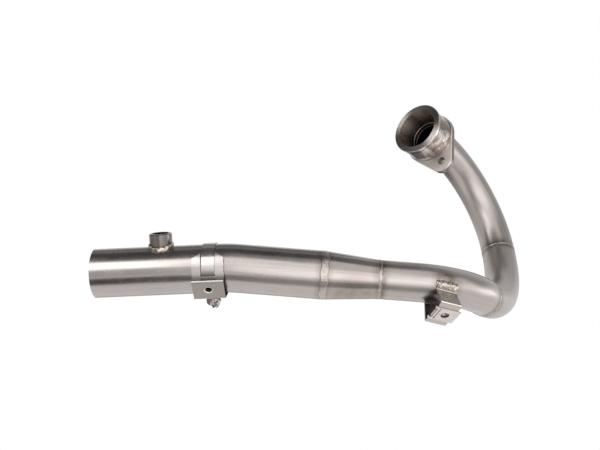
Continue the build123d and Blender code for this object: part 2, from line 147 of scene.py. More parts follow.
# Clip nut on the bracket's plate, seen from the middle of its hole
CLIP_SPOT = (0.02953, -0.02298)
CLIP_LEAN = 40.8
CLIP_SIDE = 0.0012
CLIP_HALF = 0.010
CLIP_FRONT_END = -0.0128
CLIP_BACK_END = -0.008
CLIP_EDGE = 0.0123
CLIP_LEAF = 0.00125
CLIP_SHEET = 0.0008
CLIP_HOLE_R = 0.0043
CLIP_SLOT = (0.0080, 0.0094, 0.0086)
CLIP_WINDOW = (0.0112, 0.0074)
COLLAR_R = 0.005
COLLAR_BORE_R = 0.00335
COLLAR_LENGTH = 0.004
COLLAR_THREAD = (0.00125, 0.0006)
COLLAR_TURNS = 3

# Thread and clip meshes; a groove's flanks are cut off at its crest and at its full depth
THREAD_AROUND = 96
THREAD_LEVELS = 8
FLANK_TOP = 1.25
FLANK_SLOPE = 1.5
CIRCLE_POINTS = 48
CLIP_FOLD_STEPS = 12
SHARP_ANGLE = 35

# Studio: the floor, and cards given by two corners and a level; each card is flat along one axis
FLOOR_DROP = 0.20
FLOOR_LEFT = -0.55
FLOOR_RIGHT = 1.8
FLOOR_FRONT = -0.41
FLOOR_BACK = 2.2
FLOOR_GLOW = 0.57
FLOOR_WHITE = 0.9
ROOM_GREY = 0.5
CARDS = (
    ("key_softbox", (-1.1, -1.03, 0.31), (-0.45, -1.03, 1.37), 3.0),
    ("strip_softbox", (-1.25, -0.95, 0.92), (-1.25, -0.1, 1.45), 3.3),
    ("front_grey", (-1.25, -1.35, -0.32), (-0.33, -1.35, 0.36), 0.62),
    ("front_low", (-0.33, -1.4, -0.27), (0.9, -1.4, 0.35), 2.0),
    ("front_middle", (-0.33, -1.4, 0.35), (0.5, -1.4, 0.9), 1.6),
    ("front_right", (0.5, -1.4, 0.35), (1.4, -1.4, 0.95), 2.0),
    ("front_upper_left", (-0.33, -1.3, 0.9), (0.25, -1.3, 1.9), 1.5),
    ("front_upper_right", (0.25, -1.3, 0.95), (1.4, -1.3, 1.9), 1.0),
    ("right_fill", (0.9, -1.3, -0.3), (1.6, -1.3, 0.35), 1.4),
    ("right_softbox", (1.6, -1.3, -0.35), (1.6, -0.3, 0.3), 1.45),
    ("dark_flag", (-0.95, -0.8, -0.75), (-0.36, -0.8, -0.3), 0.07),
    ("front_floor", (-1.25, -0.8, -1.2), (-0.36, -0.8, -0.75), 0.7),
    ("grey_flag", (-0.36, -0.8, -1.0), (0.5, -0.8, -0.36), 0.42),
    ("ceiling", (-2.0, -0.93, 1.5), (-0.35, 0.6, 1.5), 0.07),
    ("ceiling_middle", (-0.35, -0.3, 1.5), (0.4, 0.6, 1.5), 0.07),
    ("ceiling_right", (0.4, -0.3, 1.5), (2.0, 0.6, 1.5), 0.28),
    ("ceiling_front", (-0.35, -0.93, 1.5), (0.2, -0.3, 1.5), 0.36),
    ("ceiling_front_middle", (0.2, -0.93, 1.5), (1.0, -0.3, 1.5), 1.0),
    ("ceiling_front_right", (1.0, -0.93, 1.5), (2.0, -0.3, 1.5), 0.3),
    ("ceiling_back", (-2.0, 0.6, 1.5), (2.0, 1.2, 1.5), 0.3),
    ("back_wall_left", (-1.6, 1.15, 0.56), (-0.6, 1.15, 1.5), 0.25),
    ("back_wall_high", (-0.6, 1.15, 0.56), (0.3, 1.15, 1.5), 0.2),
    ("back_wall_right", (0.3, 1.15, 0.56), (1.5, 1.15, 1.5), 0.75),
    ("back_wall_low", (-1.6, 1.15, -0.4), (0.4, 1.15, 0.56), 0.9),
    ("back_wall_corner", (0.4, 1.15, -0.4), (1.5, 1.15, 0.56), 0.75),
    ("right_wall", (1.2, -0.2, 0.05), (1.2, 0.4, 1.5), 0.42),
    ("right_wall_back", (1.2, 0.4, 0.05), (1.2, 1.15, 1.5), 0.6),
    ("right_low_softbox", (1.1, -0.35, -1.0), (1.1, 0.3, -0.12), 2.2),
    ("left_wall", (-1.3, -0.95, -0.9), (-1.3, 1.15, 0.45), 0.75),
    ("left_front", (-1.3, -0.95, 0.45), (-1.3, -0.08, 1.5), 0.4),
    ("left_dark", (-1.3, -0.08, 0.45), (-1.3, 0.75, 1.5), 0.05),
    ("left_back", (-1.3, 0.75, 0.45), (-1.3, 1.15, 1.5), 0.5),
    ("shade", (-0.55, 0.0, -0.34), (0.02, 0.75, -0.34), 0.56),
    ("under_shade", (-0.12, 0.1, -0.33), (0.1, 0.75, -0.33), 0.12),
)


def turned(degrees, axis):
    return Matrix.Rotation(radians(degrees), 4, axis)


def ahead(station, length):
    return station @ Matrix.Translation((0, 0, length))


def around(station, bend):
    """Station after a bend: twist the tube, then bend it towards its own X."""
    twist, radius, angle = bend
    there = Matrix.Translation((radius, 0, 0))
    return station @ turned(twist, "Z") @ there @ turned(angle, "Y") @ there.inverted()


def walk(tail):
    """Stations along the route, by name, from a given tail."""
    at = {"tail": tail}
    at["boss"] = ahead(tail, BOSS_AT)
    at["clamp"] = ahead(tail, CLAMP_AT)
    at["knee"] = ahead(tail, TAIL_LENGTH)
    at["rear"] = around(at["knee"], KNEE)
    at["cone"] = ahead(at["rear"], REAR_LENGTH)
    at["lower"] = ahead(at["cone"], CONE_LENGTH)
    at["lower_bend"] = ahead(at["lower"], LOWER_LENGTH)
    at["bracket"] = around(at["lower_bend"], BRACKET_BEND)
    at["lower_end"] = around(at["lower_bend"], LOWER)
    at["elbow"] = ahead(at["lower_end"], JOINT_TANGENT)
    at["elbow_bend"] = ahead(at["elbow"], JOINT_TANGENT)
    at["elbow_end"] = around(at["elbow_bend"], ELBOW)
    at["upper"] = ahead(at["elbow_end"], JOINT_TANGENT)
    at["upper_bend"] = ahead(at["upper"], JOINT_TANGENT)
    at["upper_end"] = around(at["upper_bend"], UPPER)
    at["mouth"] = ahead(at["upper_end"], HEAD_LENGTH)
    return at


def stations():
    """The route placed so that the inlet is at the origin, with the rear pipe along X."""
    tail = Matrix(((0, 0, 1, 0), (0, -1, 0, 0), (1, 0, 0, 0), (0, 0, 0, 1)))
    inlet = walk(tail)["mouth"].translation
    return walk(Matrix.Translation(-inlet) @ tail)


# The route's stations, and frames of the pieces that sit on it
AT = stations()
BRACKET = AT["bracket"] @ turned(BRACKET_TURN, "Z") @ turned(180, "X") @ turned(BRACKET_TILT, "X")
CLAMP = AT["clamp"] @ turned(90, "Z") @ turned(180, "X")
BOSS = AT["boss"] @ turned(90, "Y")
FALL = (-sin(radians(CLIP_LEAN)), -cos(radians(CLIP_LEAN)))
CLIP_ON_BRACKET = Matrix((
    (0, FALL[0], -FALL[1], CLIP_SPOT[0]),
    (0, FALL[1], FALL[0], CLIP_SPOT[1]),
    (1, 0, 0, 0),
    (0, 0, 0, 1),
))
CLIP = BRACKET @ CLIP_ON_BRACKET @ Matrix.Translation((-CLIP_SIDE, 0, 0))

# Directions of faces with a tone of their own: painted shade on the saddle's plate and step and on the
# bracket's shelf, a painted highlight along the bracket's fold from shelf to lip
PLATE_FACE = Vector((0, -0.839196, -0.543829))
STEP_FACE = Vector((0, -0.2, 0.98))
SHELF_FACE = (BRACKET.to_3x3() @ Vector((-SHELF_SLOPE[1], SHELF_SLOPE[0], 0))).normalized()
LIP_FACE = (BRACKET.to_3x3() @ Vector((-LIP_SLOPE[1], LIP_SLOPE[0], 0))).normalized()
# Direction that the cut edges of the strap and the saddle face; they are darkened as painted shade
SHADED_CUT_EDGES = (1, 0, 0)


class Tree:
    """Short names for the nodes that the materials below are made of."""

    def __init__(self, material):
        material.use_nodes = True
        self.tree = material.node_tree
        self.tree.nodes.clear()

    def add(self, kind, **settings):
        node = self.tree.nodes.new("ShaderNode" + kind)
        for key, value in settings.items():
            setattr(node, key, value)
        return node

    def put(self, socket, value):
        if isinstance(value, bpy.types.NodeSocket):
            self.tree.links.new(value, socket)
        else:
            socket.default_value = value

    def math(self, operation, *values):
        node = self.add("Math", operation=operation)
        for socket, value in zip(node.inputs, values):
            self.put(socket, value)
        return node.outputs[0]

    def vector(self, operation, *values):
        node = self.add("VectorMath", operation=operation)
        for socket, value in zip(node.inputs, values):
            self.put(socket, value)
        return node.outputs["Value" if operation in ("DOT_PRODUCT", "LENGTH") else "Vector"]

    def place(self):
        return self.add("TexCoord").outputs["Object"]

    def normal(self):
        return self.add("NewGeometry").outputs["Normal"]

    def combine(self, x, y, z):
        node = self.add("CombineXYZ")
        for socket, value in zip(node.inputs, (x, y, z)):
            self.put(socket, value)
        return node.outputs[0]

    def noise(self, vector, scale, detail=3.0, roughness=0.55):
        node = self.add("TexNoise")
        self.put(node.inputs["Vector"], vector)
        self.put(node.inputs["Scale"], scale)
        self.put(node.inputs["Detail"], detail)
        self.put(node.inputs["Roughness"], roughness)
        return node.outputs["Fac"]

    def fade(self, value, low, high, to_low=0.0, to_high=1.0):
        """Smooth step of a value between two limits."""
        node = self.add("MapRange", interpolation_type="SMOOTHSTEP")
        for socket, number in zip(node.inputs, (value, low, high, to_low, to_high)):
            self.put(socket, number)
        return node.outputs[0]

    def times(self, *values):
        product = values[0]
        for value in values[1:]:
            product = self.math("MULTIPLY", product, value)
        return product

    def mix(self, amount, first, second):
        node = self.add("Mix", data_type="RGBA")
        self.put(node.inputs["Factor"], amount)
        self.put(node.inputs["A"], first)
        self.put(node.inputs["B"], second)
        return node.outputs["Result"]

    def pick(self, choice, first, second):
        """First number where the choice is 0, second where it is 1."""
        return self.math("MULTIPLY_ADD", choice, self.math("SUBTRACT", second, first), first)

    def bump(self, height, strength, distance, normal=None):
        node = self.add("Bump")
        if normal is not None:
            self.put(node.inputs["Normal"], normal)
        self.put(node.inputs["Height"], height)
        self.put(node.inputs["Strength"], strength)
        self.put(node.inputs["Distance"], distance)
        return node.outputs["Normal"]

    def steel(self, colour, roughness, normal=None, tangent=None, anisotropy=0.0):
        shader = self.add("BsdfPrincipled")
        shader.inputs["Metallic"].default_value = 1.0
        shader.inputs["Anisotropic"].default_value = anisotropy
        self.put(shader.inputs["Base Color"], colour)
        self.put(shader.inputs["Roughness"], roughness)
        if normal is not None:
            self.put(shader.inputs["Normal"], normal)
        if tangent is not None:
            self.put(shader.inputs["Tangent"], tangent)
        return shader.outputs[0]

    def show(self, shader):
        self.put(self.add("OutputMaterial").inputs["Surface"], shader)

    def blend(self, amount, first, second):
        node = self.add("MixShader")
        for socket, value in zip(node.inputs, (amount, first, second)):
            self.put(socket, value)
        return node.outputs[0]


def rgb(red, green, blue):
    return (red, green, blue, 1.0)


# Colours of the steels, of what heat leaves on them, and of the painted shade in bores, hollows and corners
STEEL = rgb(0.450, 0.413, 0.398)
STEEL_WARM = rgb(0.476, 0.430, 0.402)
STEEL_PALE = rgb(0.600, 0.560, 0.535)
STEEL_BRIGHT = rgb(0.850, 0.810, 0.780)
STEEL_DARK = rgb(0.300, 0.268, 0.248)
TINT_STRAW = rgb(0.370, 0.308, 0.255)
TINT_ROSE = rgb(0.360, 0.300, 0.285)
BROWN_TINT_AND_SHADE = rgb(0.150, 0.122, 0.105)
BORE_BROWN = rgb(0.560, 0.475, 0.420)
BORE_DARK = rgb(0.060, 0.052, 0.047)
FLANGE_PALE = rgb(0.76, 0.70, 0.66)
FLANGE_WARM = rgb(0.68, 0.615, 0.57)
STUD_PLATE = rgb(0.74, 0.68, 0.645)
BOSS_TARNISH = rgb(0.150, 0.133, 0.121)
BOSS_STEEL = rgb(0.210, 0.189, 0.174)
BAND_STEEL = rgb(0.75, 0.71, 0.69)
SADDLE_STEEL = rgb(0.59, 0.55, 0.535)
BRACKET_STEEL = rgb(0.52, 0.47, 0.43)
CLIP_STEEL = rgb(0.68, 0.63, 0.605)
SCREW_PLATING = rgb(0.76, 0.715, 0.705)
NUT_PLATING = rgb(0.93, 0.90, 0.88)
RING_WELD_METAL = rgb(0.48, 0.44, 0.42)
JOINT_WELD_METAL = rgb(0.43, 0.39, 0.365)
HEAVY_WELD_METAL = rgb(0.86, 0.79, 0.71)
BOSS_WELD_METAL = rgb(0.50, 0.45, 0.40)

# Marks in the steels: the spread of most of a noise's values, scales per metre, pitches and heights
NOISE_SPREAD = (0.3, 0.7)
CLOUD_SCALE = 45.0
STREAK_SCALE = 700.0
POLISH_SCALE = 2600.0
POLISH_HEIGHT = 0.00004
POLISH_STRETCH = 0.03
PATCH_SCALE = 130.0
WAVE_SCALE = 38.0
WAVE_HEIGHT = 0.0004
WAVE_STRETCH = 0.3
SPATTER_SCALE = 520.0
SPATTER_HEIGHT = 0.0001
WELD_PATCH_SCALE = 110.0
FLANGE_CLOUD_SCALE = 70.0
FLANGE_BLOTCH_SCALE = 85.0
FLANGE_RING_PITCH = 0.00045
FLANGE_RING_HEIGHT = 0.00004
BOSS_RING_PITCH = 0.0005
BOSS_RING_HEIGHT = 0.00005
BOSS_CLOUD_SCALE = 240.0
BOSS_CLOUD_STRETCH = 0.06
ROLLING_SCALE = 1300.0
ROLLING_HEIGHT = 0.00005
ROLLING_STRETCH = 0.05
SCUFF_SCALE = 170.0
DENT_SCALE = 620.0
DENT_HEIGHT = 0.0006
PLATING_ROUGH = 0.14

# Heat: reach beside a seam and round the boss and the bracket's foot; reach of the painted shade, in
# heat-tint colours, on the cone's underside; depth of burning
SEAM_CORE = 0.0015
SEAM_HEAT = 0.012
SEAM_RING = (0.03, 0.05)
SPOT_CORE = 0.35
BOSS_HEAT = 0.021
FOOT_HEAT = 0.022
CONE_UNDERSIDE_REACH = 0.036
CONE_UNDERSIDE = Vector((0, -0.011, -0.019))
CONE_SHADE = 0.2
BURN = 0.7
REAR_BURN = 0.4
CONE_BURN = 0.3

# Places on the head flange, along its axis from the mouth
FACE_BAND = (-0.0015, -0.0005)
MOUTH_EDGE = (-0.0004, -0.0001)
HUB_FRONT = (-0.0030, -0.0027)
# Spans of painted shade on the hub: a dark band just behind the ring, and a dark corner where it meets the
# plate
HUB_RING_SHADOW = (-0.009, -0.003)
HUB_CORNER_SHADE = (-HUB_LENGTH + 0.0010, -HUB_LENGTH + 0.0014)
PLATE_FRONT = (-HUB_LENGTH + 0.0002, -HUB_LENGTH + 0.0004)
FUNNEL_TOP = -0.004

# Painted shade: on the strap below two heights from the clamp's middle, and on the faces of the saddle and
# the bracket that look towards a point in their hollows
BAND_PAINTED_SHADE = (-0.002, 0.0065)
SADDLE_SHADE_POINT = Vector((0.027, -0.017, 0))
BRACKET_SHADE_POINT = Vector((0.022, -0.018, 0))


def bend_coordinates(tree, station, bend):
    """Length along a tube with one bend, and the two places across it, also before and after the bend."""
    twist, radius, angle = bend
    start = station @ turned(twist, "Z")
    inward, hinge, travel = (start.to_3x3().col[i].copy() for i in range(3))
    centre = start.translation + radius * inward
    end = around(station, bend)
    end_out = (end.translation - centre).normalized()
    arm = tree.vector("SUBTRACT", tree.place(), tuple(centre))
    out = tree.vector("DOT_PRODUCT", arm, tuple(-inward))
    past = tree.vector("DOT_PRODUCT", arm, tuple(travel))
    across = tree.vector("DOT_PRODUCT", arm, tuple(hinge))
    swept = tree.math("MAXIMUM", past, 0.0)
    reach = tree.vector("LENGTH", tree.combine(swept, out, 0.0))
    along = tree.math("MULTIPLY", tree.math("ARCTAN2", swept, out), radius)
    along = tree.math("ADD", along, tree.math("MINIMUM", past, 0.0))
    beyond = tree.vector("DOT_PRODUCT", arm, tuple(end.to_3x3().col[2]))
    after = tree.math("GREATER_THAN", beyond, 0.0)
    end_reach = tree.vector("DOT_PRODUCT", arm, tuple(end_out))
    end_along = tree.math("ADD", beyond, radius * radians(angle))
    height = tree.math("SUBTRACT", tree.pick(after, reach, end_reach), radius)
    return tree.pick(after, along, end_along), height, across


def straight_coordinates(tree, station):
    """Length along a straight piece, and the two places across it."""
    sideways, upward, travel = (station.to_3x3().col[i].copy() for i in range(3))
    arm = tree.vector("SUBTRACT", tree.place(), tuple(station.translation))
    return tuple(tree.vector("DOT_PRODUCT", arm, tuple(axis)) for axis in (travel, sideways, upward))


def seam_tint(tree, seams):
    """How strongly the heat of the nearest weld seam shows: 1 at the seam, 0 beyond its reach."""
    strongest = 0.0
    for station in seams:
        axis = station.to_3x3().col[2]
        arm = tree.vector("SUBTRACT", tree.place(), tuple(station.translation))
        gap = tree.math("ABSOLUTE", tree.vector("DOT_PRODUCT", arm, tuple(axis)))
        beside = tree.fade(gap, SEAM_CORE, SEAM_HEAT, 1.0, 0.0)
        around_it = tree.fade(tree.vector("LENGTH", arm), *SEAM_RING, 1.0, 0.0)
        strongest = tree.math("MAXIMUM", strongest, tree.times(beside, around_it))
    return strongest


def spot_tint(tree, spots):
    """Strength of heat tint round single places, 1 at a place and 0 beyond its reach; under the cone it is
    painted shade.
    """
    strongest = 0.0
    for place, reach in spots:
        gap = tree.vector("LENGTH", tree.vector("SUBTRACT", tree.place(), tuple(place)))
        strongest = tree.math("MAXIMUM", strongest, tree.fade(gap, SPOT_CORE * reach, reach, 1.0, 0.0))
    return strongest


def pipe_material(name, coordinates, seams, bore_r, rough, spots=(), end=None, burn=BURN, shade=0.0):
    """Satin tube steel: lengthwise polishing marks, cloudy tone, heat tint at the welds, a bore darkened as
    painted shade.

    Spots are further heated places with their reach, and under the cone a place of painted shade in heat-tint
    colours; end is the direction of a bright cut end, burn is how brown the hottest patches are, and shade is
    how much rose tint lies over the whole piece. A bore radius of 0 leaves the bore as it is.
    """
    material = bpy.data.materials.new(name)
    tree = Tree(material)
    along, across, height = coordinates(tree)
    lengthwise = tree.combine(tree.math("MULTIPLY", along, POLISH_STRETCH), across, height)
    streaks = tree.noise(lengthwise, STREAK_SCALE, 3.0)
    marks = tree.noise(lengthwise, POLISH_SCALE, 2.0)
    clouds = tree.noise(tree.place(), CLOUD_SCALE, 4.0)
    tone = tree.mix(tree.fade(clouds, 0.35, 0.68), STEEL, STEEL_WARM)
    if shade:
        tone = tree.mix(shade, tone, TINT_ROSE)
    tone = tree.mix(tree.times(tree.fade(streaks, 0.42, 0.72), 0.2), tone, STEEL_DARK)
    patchy = tree.fade(tree.noise(tree.place(), PATCH_SCALE, 4.0), 0.28, 0.62)
    heat = seam_tint(tree, seams)
    # Spots add heat tint; the spot on the cone's underside is painted shade
    if spots:
        heat = tree.math("MAXIMUM", heat, spot_tint(tree, spots))
    tone = tree.mix(tree.times(tree.fade(heat, 0.02, 0.45), 0.45), tone, TINT_ROSE)
    tone = tree.mix(tree.times(tree.fade(heat, 0.30, 0.80), 0.40), tone, TINT_STRAW)
    tone = tree.mix(tree.times(tree.fade(heat, 0.50, 1.0), patchy, burn), tone, BROWN_TINT_AND_SHADE)
    # Painted shade: the inside of the bore is darkened
    if bore_r:
        reach = tree.vector("LENGTH", tree.combine(across, height, 0.0))
        tone = tree.mix(tree.fade(reach, bore_r, bore_r + WALL / 4, 1.0, 0.0), tone, BORE_DARK)
    if end is not None:
        cut = tree.fade(tree.vector("DOT_PRODUCT", tree.normal(), tuple(end)), 0.6, 0.9)
        tone = tree.mix(cut, tone, STEEL_BRIGHT)
    worn = tree.math("MULTIPLY_ADD", tree.fade(clouds, *NOISE_SPREAD), 0.05, rough)
    worn = tree.math("MULTIPLY_ADD", tree.fade(streaks, 0.3, 0.8), 0.06, worn)
    stretched = tree.combine(tree.math("MULTIPLY", along, WAVE_STRETCH), across, height)
    waves = tree.bump(tree.noise(stretched, WAVE_SCALE, 1.0), 1.0, WAVE_HEIGHT)
    tree.show(tree.steel(tone, worn, tree.bump(marks, 0.05, POLISH_HEIGHT, waves)))
    return material


def weld_material(name, tone, rough, tint):
    """Weld metal: clean crests, straw and brown patches."""
    material = bpy.data.materials.new(name)
    tree = Tree(material)
    spatter = tree.noise(tree.place(), SPATTER_SCALE, 3.0)
    broad = tree.noise(tree.place(), WELD_PATCH_SCALE, 3.0)
    tone = tree.mix(tree.fade(broad, *NOISE_SPREAD), STEEL_WARM, tone)
    tone = tree.mix(tree.times(tree.fade(spatter, 0.45, 0.72), tint), tone, TINT_STRAW)
    tone = tree.mix(tree.times(tree.fade(broad, 0.48, 0.66), tint), tone, BROWN_TINT_AND_SHADE)
    worn = tree.fade(spatter, *NOISE_SPREAD, rough, rough + 0.08)
    tree.show(tree.steel(tone, worn, tree.bump(spatter, 0.12, SPATTER_HEIGHT)))
    return material


def turned_surface(tree, axis, centre, pitch):
    """Place from a point on a lathe axis, along it, round it and out from it, and the ring marks."""
    arm = tree.vector("SUBTRACT", tree.place(), tuple(centre))
    along = tree.vector("DOT_PRODUCT", arm, tuple(axis))
    hoop = tree.vector("CROSS_PRODUCT", tuple(axis), arm)
    out = tree.vector("LENGTH", hoop)
    rings = tree.noise(tree.combine(tree.math("ADD", along, out), 0.0, 0.0), 1.0 / pitch, 2.0)
    return arm, along, hoop, out, rings


def band(tree, value, middle, half):
    """1 within half of the middle, falling off softly beyond."""
    return tree.fade(tree.math("ABSOLUTE", tree.math("SUBTRACT", value, middle)), 0.6 * half, half, 1.0, 0.0)


def flange_material():
    """Turned flange: fine rings, brown hub and funnel with painted shade, painted highlights at its throat, a
    blasted stud plate.
    """
    material = bpy.data.materials.new("flange_steel")
    tree = Tree(material)
    mouth = AT["mouth"]
    axis = mouth.to_3x3().col[2]
    arm, along, hoop, out, rings = turned_surface(tree, axis, mouth.translation, FLANGE_RING_PITCH)
    clouds = tree.noise(tree.place(), FLANGE_CLOUD_SCALE, 4.0)
    tone = tree.mix(tree.fade(clouds, *NOISE_SPREAD), FLANGE_PALE, FLANGE_WARM)
    tone = tree.mix(tree.times(tree.fade(rings, 0.35, 0.7), 0.35), tone, STEEL_DARK)

    plate = tree.fade(along, *PLATE_FRONT, 1.0, 0.0)
    hub = tree.times(tree.math("SUBTRACT", 1.0, plate), tree.fade(along, *HUB_FRONT, 1.0, 0.0))
    blotch = tree.fade(tree.noise(arm, FLANGE_BLOTCH_SCALE, 6.0, 0.62), 0.44, 0.56)
    tone = tree.mix(tree.times(hub, blotch, 0.7), tone, BROWN_TINT_AND_SHADE)
    # Painted shade: a dark band on the hub just behind the ring, and a dark corner where the hub meets the
    # plate
    tone = tree.mix(tree.times(hub, tree.fade(along, *HUB_RING_SHADOW), 0.75), tone, BROWN_TINT_AND_SHADE)
    corner = tree.times(hub, tree.fade(along, *HUB_CORNER_SHADE, 0.85, 0.0))
    tone = tree.mix(corner, tone, BROWN_TINT_AND_SHADE)

    behind = tree.fade(along, *MOUTH_EDGE, 1.0, 0.0)
    inside = tree.times(behind, tree.fade(out, LIP_R - 0.0003, LIP_R + 0.0002, 1.0, 0.0))
    # The funnel is brown, and darkened towards the throat as painted shade
    funnel = tree.mix(tree.fade(along, -THROAT_DEPTH, FUNNEL_TOP), BROWN_TINT_AND_SHADE, BORE_BROWN)
    tone = tree.mix(inside, tone, funnel)
    # Painted highlights: thin bright rings at the edges of the throat and the socket
    throat_highlight = band(tree, along, -THROAT_DEPTH, 0.0003)
    socket_highlight = band(tree, along, -SOCKET_DEPTH, 0.0004)
    edges = tree.math("MAXIMUM", throat_highlight, socket_highlight)
    tone = tree.mix(tree.times(edges, inside, 0.8), tone, STEEL_PALE)

    outside = tree.math("SUBTRACT", 1.0, inside)
    tone = tree.mix(tree.times(plate, outside), tone, STUD_PLATE)
    # Painted shade on the stud plate's side walls and inside the stud holes
    level = tree.math("ABSOLUTE", tree.vector("DOT_PRODUCT", tree.normal(), tuple(axis)))
    rim = tree.fade(level, 0.2, 0.6, 0.75, 0.0)
    tone = tree.mix(tree.times(plate, outside, rim), tone, BROWN_TINT_AND_SHADE)
    ear = (mouth @ turned(EAR_TURN, "Z")).to_3x3().col[0].copy()
    for side in (1, -1):
        spoke = tree.vector("SUBTRACT", arm, tuple(side * STUD_REACH * ear))
        gap = tree.vector("LENGTH", tree.vector("CROSS_PRODUCT", tuple(axis), spoke))
        tone = tree.mix(tree.fade(gap, STUD_HOLE_R, STUD_HOLE_R + 0.0003, 0.8, 0.0), tone, BORE_DARK)

    face = tree.fade(along, *FACE_BAND)
    tone = tree.mix(tree.times(face, 0.2), tone, BORE_DARK)
    satin = tree.pick(tree.math("MAXIMUM", face, inside), 0.15, 0.21)
    rough = tree.math("MULTIPLY_ADD", rings, 0.04, satin)
    across_rings = tree.vector("NORMALIZE", tree.vector("CROSS_PRODUCT", hoop, tree.normal()))
    lathe = tree.steel(tone, rough, tree.bump(rings, 0.1, FLANGE_RING_HEIGHT), across_rings, 1.0)
    blasted = tree.steel(tone, tree.fade(clouds, *NOISE_SPREAD, 0.34, 0.42))
    tree.show(tree.blend(tree.times(plate, outside), lathe, blasted))
    return material


def boss_material():
    """Machined boss, shiny and tarnished, with a threaded bore darkened as painted shade."""
    material = bpy.data.materials.new("boss_steel")
    tree = Tree(material)
    arm, _, _, out, rings = turned_surface(tree, (0, 0, 1), BOSS.translation, BOSS_RING_PITCH)
    clouds = tree.noise(tree.vector("MULTIPLY", arm, (1.0, 1.0, BOSS_CLOUD_STRETCH)), BOSS_CLOUD_SCALE, 2.0)
    tone = tree.mix(tree.fade(clouds, 0.40, 0.62), BOSS_TARNISH, BOSS_STEEL)
    tone = tree.mix(tree.times(tree.fade(rings, 0.4, 0.7), 0.2), tone, STEEL_DARK)
    # Painted shade: the threaded bore is darkened
    bore = tree.fade(out, BOSS_BORE_R + 0.0004, BOSS_BORE_R + 0.0008, 0.85, 0.0)
    tone = tree.mix(bore, tone, BORE_DARK)
    worn = tree.fade(rings, *NOISE_SPREAD, 0.10, 0.15)
    tree.show(tree.steel(tone, worn, tree.bump(rings, 0.1, BOSS_RING_HEIGHT)))
    return material


def sheet_material(name, colour, rough, grain_axis, shade_point=None, faces=(), edge=None, painted_shade_heights=None):
    """Rolled and tumbled sheet steel with rolling lines and scuffs.

    Faces towards the given point in a hollow are darkened as painted shade; faces gives directions with a
    tone of their own and its amount, for painted shade and painted highlights; edge is the direction of the
    cut edges, darkened as painted shade; and the last two heights bound the painted shade on the lower part.
    """
    material = bpy.data.materials.new(name)
    tree = Tree(material)
    squeeze = [1.0, 1.0, 1.0]
    squeeze[grain_axis] = ROLLING_STRETCH
    lines = tree.noise(tree.vector("MULTIPLY", tree.place(), tuple(squeeze)), ROLLING_SCALE, 3.0)
    scuffs = tree.noise(tree.place(), SCUFF_SCALE, 4.0)
    tone = tree.mix(tree.times(tree.fade(scuffs, 0.35, 0.7), 0.25), colour, STEEL_WARM)
    tone = tree.mix(tree.times(tree.fade(lines, 0.45, 0.75), 0.25), tone, STEEL_DARK)
    # Painted shade: faces that look towards a point in the hollow are darkened
    if shade_point is not None:
        arm = tree.vector("SUBTRACT", tuple(shade_point), tree.place())
        facing = tree.vector("DOT_PRODUCT", tree.normal(), tree.vector("NORMALIZE", arm))
        tone = tree.mix(tree.fade(facing, 0.05, 0.3, 0.0, 0.9), tone, BORE_DARK)
    # Painted shade and painted highlights on faces that look in the given directions
    for direction, finish_and_painted_light, amount in faces:
        turn = tree.vector("DOT_PRODUCT", tree.normal(), tuple(direction.normalized()))
        tone = tree.mix(tree.fade(turn, 0.93, 0.99, 0.0, amount), tone, finish_and_painted_light)
    # Painted shade: cut edges are darkened
    if edge is not None:
        turn = tree.math("ABSOLUTE", tree.vector("DOT_PRODUCT", tree.normal(), edge))
        tone = tree.mix(tree.fade(turn, 0.7, 0.95, 0.0, 0.85), tone, BORE_DARK)
    # Painted shade on the lower part, fading out between the two heights
    if painted_shade_heights is not None:
        height = tree.vector("DOT_PRODUCT", tree.place(), (0, 0, 1))
        tone = tree.mix(tree.fade(height, *painted_shade_heights, 0.9, 0.0), tone, BROWN_TINT_AND_SHADE)
    worn = tree.fade(scuffs, *NOISE_SPREAD, rough, rough + 0.06)
    tree.show(tree.steel(tone, worn, tree.bump(lines, 0.10, ROLLING_HEIGHT)))
    return material


def plated_material(name, bright, dull, dent):
    """Bright plating over a skin with dents."""
    material = bpy.data.materials.new(name)
    tree = Tree(material)
    dents = tree.noise(tree.place(), DENT_SCALE, 2.0)
    tone = tree.mix(tree.fade(dents, 0.42, 0.62), bright, dull)
    tree.show(tree.steel(tone, PLATING_ROUGH, tree.bump(dents, dent, DENT_HEIGHT)))
    return material


def wear(node, material):
    """Gives a CAD node its material."""
    NODES[node].data.materials.clear()
    NODES[node].data.materials.append(material)


def dress_pipes():
    """Tube steel for the four bent pipes and the cone."""
    rear_bore, header_bore = REAR_R - WALL, HEADER_R - WALL
    tail_end = -AT["tail"].to_3x3().col[2]
    boss_heat = ((BOSS @ Vector((0, 0, REAR_R)), BOSS_HEAT),)
    foot_heat = ((BRACKET @ Vector((HEADER_R, FOOT_TOP, 0)), FOOT_HEAT),)
    pipes = (
        ("rear_pipe", "knee", KNEE, ("cone",), (rear_bore, 0.20, boss_heat, tail_end, REAR_BURN)),
        ("lower_pipe", "lower_bend", LOWER, ("lower", "elbow"), (header_bore, 0.24, foot_heat)),
        ("elbow", "elbow_bend", ELBOW, ("elbow", "upper"), (header_bore, 0.34)),
        ("upper_bend", "upper_bend", UPPER, ("upper",), (header_bore, 0.30)),
    )
    for node, station, bend, seams, finish_and_painted_light in pipes:
        def bent(tree):
            return bend_coordinates(tree, AT[station], bend)
        wear(node, pipe_material(node + "_steel", bent, [AT[seam] for seam in seams], *finish_and_painted_light))

    def straight(tree):
        return straight_coordinates(tree, AT["cone"])
    # Painted shade in heat-tint colours on the cone's underside
    underside = ahead(AT["cone"], CONE_LENGTH / 2).translation + CONE_UNDERSIDE
    cone = pipe_material("cone_steel", straight, [AT["cone"], AT["lower"]], 0.0, 0.15,
                         ((underside, CONE_UNDERSIDE_REACH),), burn=CONE_BURN, shade=CONE_SHADE)
    wear("reducer_cone", cone)


